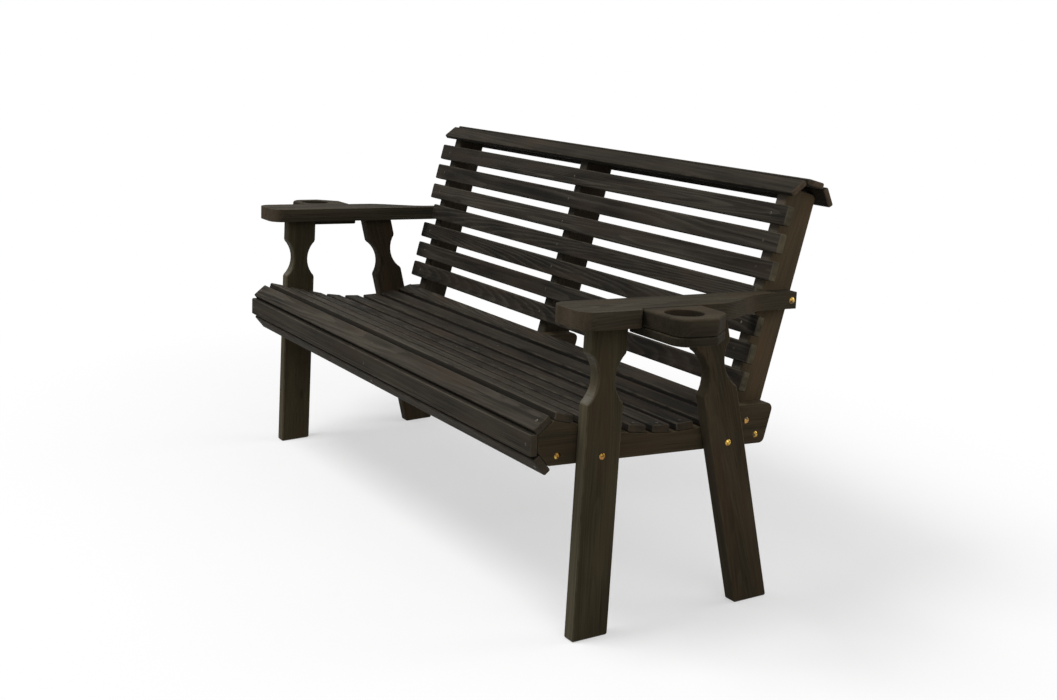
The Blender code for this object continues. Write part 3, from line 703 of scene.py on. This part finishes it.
def ease_rim(shape):
    """Rounds the upper rim of a cup hole."""
    rim = []
    for edge in shape.edges:
        square = len(edge.link_faces) == 2 and edge.calc_face_angle() > CHAMFER_HIGH
        if square and any(face.normal.z > FLAT_DOT for face in edge.link_faces):
            rim.append(edge)
    bmesh.ops.bevel(
        shape, geom=rim, offset=RIM_EASE, segments=RIM_STEPS, profile=0.5, affect="EDGES", clamp_overlap=True)


moved = [swept_width(y / 100) - packed_width(y / 100) for y in range(24)]
print(f"the sweep moves out by up to {max(moved) * 1000:.0f} mm")

# %% Dress the arms and cup holders
for node in sorted(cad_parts):
    if node.startswith("arm_"):
        dressed[node] = dress(node, slope, fitted=redraw_sweep)
    elif node.startswith("cup_block"):
        dressed[node] = dress(node, slope, fitted=ease_rim)
    elif node.startswith("cup_plate"):
        dressed[node] = dress(node, slope)
print(len(dressed), "boards dressed in all")

# %% [markdown]
# ## Yellow zinc
#
# The bolts and screws are steel with a yellow zinc coat, which is never one even colour: the thin film drifts
# from straw to gold and a little pink. The dark smears on the heads are a painted dark reflection, the band that
# the domes would mirror from dark surroundings. The screws, under more stain, are duller than the bolts, so one
# recipe makes both from their own tones.
#
# %% The zinc coat
# Changes per metre of the marks on the coat
FILM, BLUSH, SMEAR_AND_REFLECTION_MARKS, SPECKS = 110, 70, 120, 2200
BLUSH_SHARE, SMEAR_AND_REFLECTION_SHARE, SMEAR_AND_REFLECTION_SPECKS = 0.8, 0.85, 0.4
SMEAR_AND_REFLECTION_COVERS, SMEAR_AND_REFLECTION_MATT, SPECK_MATT = 0.7, 0.3, 0.2


def zinc_coat(name, dull, bright, pink, smear_and_dark_reflection, gloss):
    """Coated steel from its tones: dull and bright parts of the film, pink drifts, and dark smears that are a painted
    dark reflection.
    """
    material, graph = blank_material(name)
    spot = graph.add("ShaderNodeTexCoord", output="Object")
    film = spot.stretch(FILM, FILM, FILM).noise()
    blush = spot.stretch(BLUSH, BLUSH, BLUSH).noise(1.0)
    stain = spot.stretch(SMEAR_AND_REFLECTION_MARKS, SMEAR_AND_REFLECTION_MARKS, SMEAR_AND_REFLECTION_MARKS).noise(FINE_DETAIL, FINE_ROUGHNESS)
    speck = spot.stretch(SPECKS, SPECKS, SPECKS).noise()
    coat = film.step(-0.16, 0.16).blend(dull, bright)
    coat = (blush.step(0.0, 0.2) * BLUSH_SHARE).blend(coat, pink)
    # Dark smears: a painted dark reflection on the heads, matt and less metallic where they lie.
    smeared_and_dark_reflection = stain.step(0.02, 0.14)
    coat = (smeared_and_dark_reflection * (SMEAR_AND_REFLECTION_SHARE + speck * SMEAR_AND_REFLECTION_SPECKS)).blend(coat, smear_and_dark_reflection)
    shader = graph.add("ShaderNodeBsdfPrincipled", inputs={
        "Base Color": coat,
        "Metallic": 1.0 - smeared_and_dark_reflection * SMEAR_AND_REFLECTION_COVERS,
        "Roughness": gloss + speck * SPECK_MATT + smeared_and_dark_reflection * SMEAR_AND_REFLECTION_MATT,
    })
    graph.add("ShaderNodeOutputMaterial", inputs={"Surface": shader})
    return material


bolt_zinc = zinc_coat(
    "bolt_zinc", dull=colour(110, 80, 26), bright=colour(200, 164, 76), pink=colour(170, 116, 80),
    smear_and_dark_reflection=colour(40, 31, 18), gloss=0.07)
screw_zinc = zinc_coat(
    "screw_zinc", dull=colour(46, 42, 35), bright=colour(104, 97, 82), pink=colour(70, 62, 51),
    smear_and_dark_reflection=colour(28, 25, 20), gloss=0.45)
print("two zinc coats, for bolts and for screws")

# %% [markdown]
# ## Carriage bolts
#
# A carriage bolt has a smooth low dome, a square neck that bites into the wood, and a plain shank with a thread
# at its end, where a washer and a hexagon nut pull the boards together. All of it is turned work, so one helper
# makes a closed shell from rings along an axis, and the square and the hexagon are only rings of another shape.
#
# %% Turn shells from rings
TURNED_SIDES = 24
SLOT_ARM, SLOT_WAIST = 0.8, 0.42


def ring_radius(section, radius, angle):
    """Distance from the axis at an angle, for a section given to its corners or its rim."""
    if section == "square":
        return radius / (abs(cos(angle)) + abs(sin(angle)))
    if section == "hexagon":
        return radius * cos(pi / 6) / cos((angle + pi / 6) % (pi / 3) - pi / 6)
    if section == "cross":
        return radius * (1.0 if abs(cos(2 * angle)) > SLOT_ARM else SLOT_WAIST)
    return radius


def turn(shape, rings, base, axis, side, bored=False):
    """Adds a closed shell: rings of (distance along the axis, radius, section), joined end to end if bored."""
    up = axis.cross(side)
    loops = []
    for reach, radius, section in rings:
        loop = []
        for i in range(TURNED_SIDES):
            angle = 2 * pi * i / TURNED_SIDES
            r = ring_radius(section, radius, angle)
            loop.append(shape.verts.new(base + axis * reach + side * (r * cos(angle)) + up * (r * sin(angle))))
        loops.append(loop)
    for first, second in zip(loops, loops[1:] + loops[:1] if bored else loops[1:]):
        for i in range(TURNED_SIDES):
            j = (i + 1) % TURNED_SIDES
            shape.faces.new((first[i], first[j], second[j], second[i]))
    if not bored:
        shape.faces.new(loops[0])
        shape.faces.new(loops[-1])


print("shells of", TURNED_SIDES, "sides")

# %% Make one bolt, washer and nut
DOME_WIDTH, DOME_HEIGHT = 0.0156, 0.0038
SHANK, NECK_LENGTH, THREAD_PITCH, THREAD_DEPTH = 0.0064, 0.0048, 0.00127, 0.00045
WASHER_WIDTH, WASHER_THICK, WASHER_EASE = 0.0180, 0.0016, 0.0002
NUT_ACROSS, NUT_THICK, NUT_CHAMFER, NUT_PLAY = 0.0111, 0.0056, 0.0009, 0.00005
DOME_RINGS = 0.06, 0.25, 0.45, 0.63, 0.79, 0.91, 0.98, 1.0
TIP = 0.0030
TIP_RINGS = (0.0004, 0.0001), (0.0, 0.0006)


def bolt_rings(length):
    """Rings of a bolt from the top of its dome to its threaded tip."""
    head, shank = DOME_WIDTH / 2, SHANK / 2
    ball = (head**2 + DOME_HEIGHT**2) / (2 * DOME_HEIGHT)
    rings = []
    for share in DOME_RINGS:
        rings.append((ball - sqrt(ball**2 - (head * share) ** 2), head * share, "round"))
    neck_end = DOME_HEIGHT + NECK_LENGTH
    rings += [(DOME_HEIGHT, SHANK / sqrt(2), "square"), (neck_end, SHANK / sqrt(2), "square")]
    rings += [(neck_end, shank, "round")]
    reach = length - TIP - NUT_THICK - WASHER_THICK - 2 * THREAD_PITCH
    while reach < length - THREAD_PITCH:
        rings += [(reach, shank, "round"), (reach + THREAD_PITCH / 2, shank - THREAD_DEPTH, "round")]
        reach += THREAD_PITCH
    return rings + [(length - short, shank - thin, "round") for short, thin in TIP_RINGS]


def carriage_bolt(node):
    """A bolt with its washer and nut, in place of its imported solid."""
    low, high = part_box(node)
    inward = Vector((1 if node.endswith("right") else -1, 0, 0))
    length = high.x - low.x
    top = (low + high) / 2 - inward * (length / 2)
    side = Vector((0, 1, 0))
    shape = bmesh.new()
    turn(shape, bolt_rings(length), top, inward, side)
    nut_end = length - TIP
    nut_start = nut_end - NUT_THICK
    bore, corner = SHANK / 2 + NUT_PLAY, NUT_ACROSS / sqrt(3)
    nut = [(nut_start, bore, "round"), (nut_start, NUT_ACROSS / 2, "round")]
    nut += [(nut_start + NUT_CHAMFER / 2, corner, "hexagon"), (nut_end - NUT_CHAMFER / 2, corner, "hexagon")]
    nut += [(nut_end, NUT_ACROSS / 2, "round"), (nut_end, bore, "round")]
    turn(shape, nut, top, inward, side, bored=True)
    washer_start, rim = nut_start - WASHER_THICK, WASHER_WIDTH / 2
    washer = [(washer_start, bore, "round"), (washer_start, rim - WASHER_EASE, "round")]
    washer += [(washer_start + WASHER_EASE, rim, "round"), (nut_start - WASHER_EASE, rim, "round")]
    washer += [(nut_start, rim - WASHER_EASE, "round"), (nut_start, bore, "round")]
    turn(shape, washer, top, inward, side, bored=True)
    return finish_metal(shape, node + "_turned", bolt_zinc, node)


def finish_metal(shape, name, coat, *nodes):
    """A zinc-coated piece from a shape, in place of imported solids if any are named."""
    bmesh.ops.recalc_face_normals(shape, faces=shape.faces)
    mesh = bpy.data.meshes.new(name)
    shape.to_mesh(mesh)
    shape.free()
    mesh.shade_smooth()
    mesh.set_sharp_from_angle(angle=SHARP_ANGLE)
    mesh.materials.append(coat)
    piece = bpy.data.objects.new(name, mesh)
    bpy.context.scene.collection.objects.link(piece)
    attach(piece, BODY)
    if nodes:
        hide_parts(*nodes)
    return piece


bolts = [carriage_bolt(node) for node in sorted(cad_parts) if node.startswith("bolt_")]
print(len(bolts), "bolts of", len(bolts[0].data.polygons), "faces")

# %% [markdown]
# ## Slat screws
#
# Every slat is held by one screw at each rail or upright: a small flat head with a cross slot, driven until it
# is level with the wood. The cap boards show none, so they are held from below. The screws aren't solids of the
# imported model, so their places are worked out here: the middle of the slat's outer face, over the middle of the
# board behind it, with the small error of a hand drill.
#
# %% Shape a screw and find its place
SCREW_HEAD, SCREW_SHANK, SCREW_LENGTH = 0.0070, 0.0040, 0.0160
SCREW_RISE, SCREW_SLOT, SLOT_DEPTH = 0.0004, 0.0036, 0.0014
SCREW_RINGS = [
    (SLOT_DEPTH, SCREW_SLOT * 0.22, "round"), (SLOT_DEPTH * 0.9, SCREW_SLOT / 2, "cross"),
    (0.0, SCREW_SLOT / 2, "cross"), (0.0, SCREW_HEAD / 2 - 0.0006, "round"),
    (0.0002, SCREW_HEAD / 2 - 0.0001, "round"), (0.0006, SCREW_HEAD / 2, "round"),
    (0.0030, SCREW_SHANK / 2, "round"), (SCREW_LENGTH, SCREW_SHANK / 2, "round"),
]


def outer_face(node, behind):
    """Middle of a slat's outer wide face, and the direction that it faces, away from the board behind."""
    shape = rounded_copy(node)
    _, _, through = board_axes(shape, lengthwise)
    low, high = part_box(node)
    middle = (low + high) / 2
    behind_low, behind_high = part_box(behind)
    if through.dot(middle - (behind_low + behind_high) / 2) < 0:
        through = -through
    thick = max(through.dot(vertex.co - middle) for vertex in shape.verts)
    shape.free()
    return middle + through * thick, through


print(f"screws of {len(SCREW_RINGS)} rings, heads {SCREW_HEAD * 1000:.0f} mm across")

# %% Drive the screws
DRILL_ERROR = 0.0016


def screw_row(name, slats, board):
    """One row of screws, through slats into one rail or upright."""
    draw = random.Random(name)
    low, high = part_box(board)
    shape = bmesh.new()
    for node in slats:
        middle, outward = outer_face(node, board)
        across = outward.cross(lengthwise)
        spot = Vector(((low.x + high.x) / 2, middle.y, middle.z))
        spot += lengthwise * draw.uniform(-1, 1) * DRILL_ERROR + across * draw.uniform(-1, 1) * DRILL_ERROR
        turned_by = draw.uniform(0, pi / 2)
        side = lengthwise * cos(turned_by) + across * sin(turned_by)
        turn(shape, SCREW_RINGS, spot + outward * SCREW_RISE, -outward, side)
    return finish_metal(shape, name, screw_zinc)


seat_slats = [node for node in sorted(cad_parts) if node.startswith(("seat_slat", "nose_slat"))]
back_slats = [node for node in sorted(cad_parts) if node.startswith("back_slat")]
for hand in ("left", "middle", "right"):
    screw_row("seat_screws_" + hand, seat_slats, "rail_" + hand)
    screw_row("back_screws_" + hand, back_slats, "upright_" + hand)
print(3 * (len(seat_slats) + len(back_slats)), "screws in six rows")

# %% [markdown]
# ## The size at the end
#
# Dressing a model must not make it grow, or the bench would no longer fit where its plain solids fit.
#
# %% Finish
bpy.context.view_layer.update()
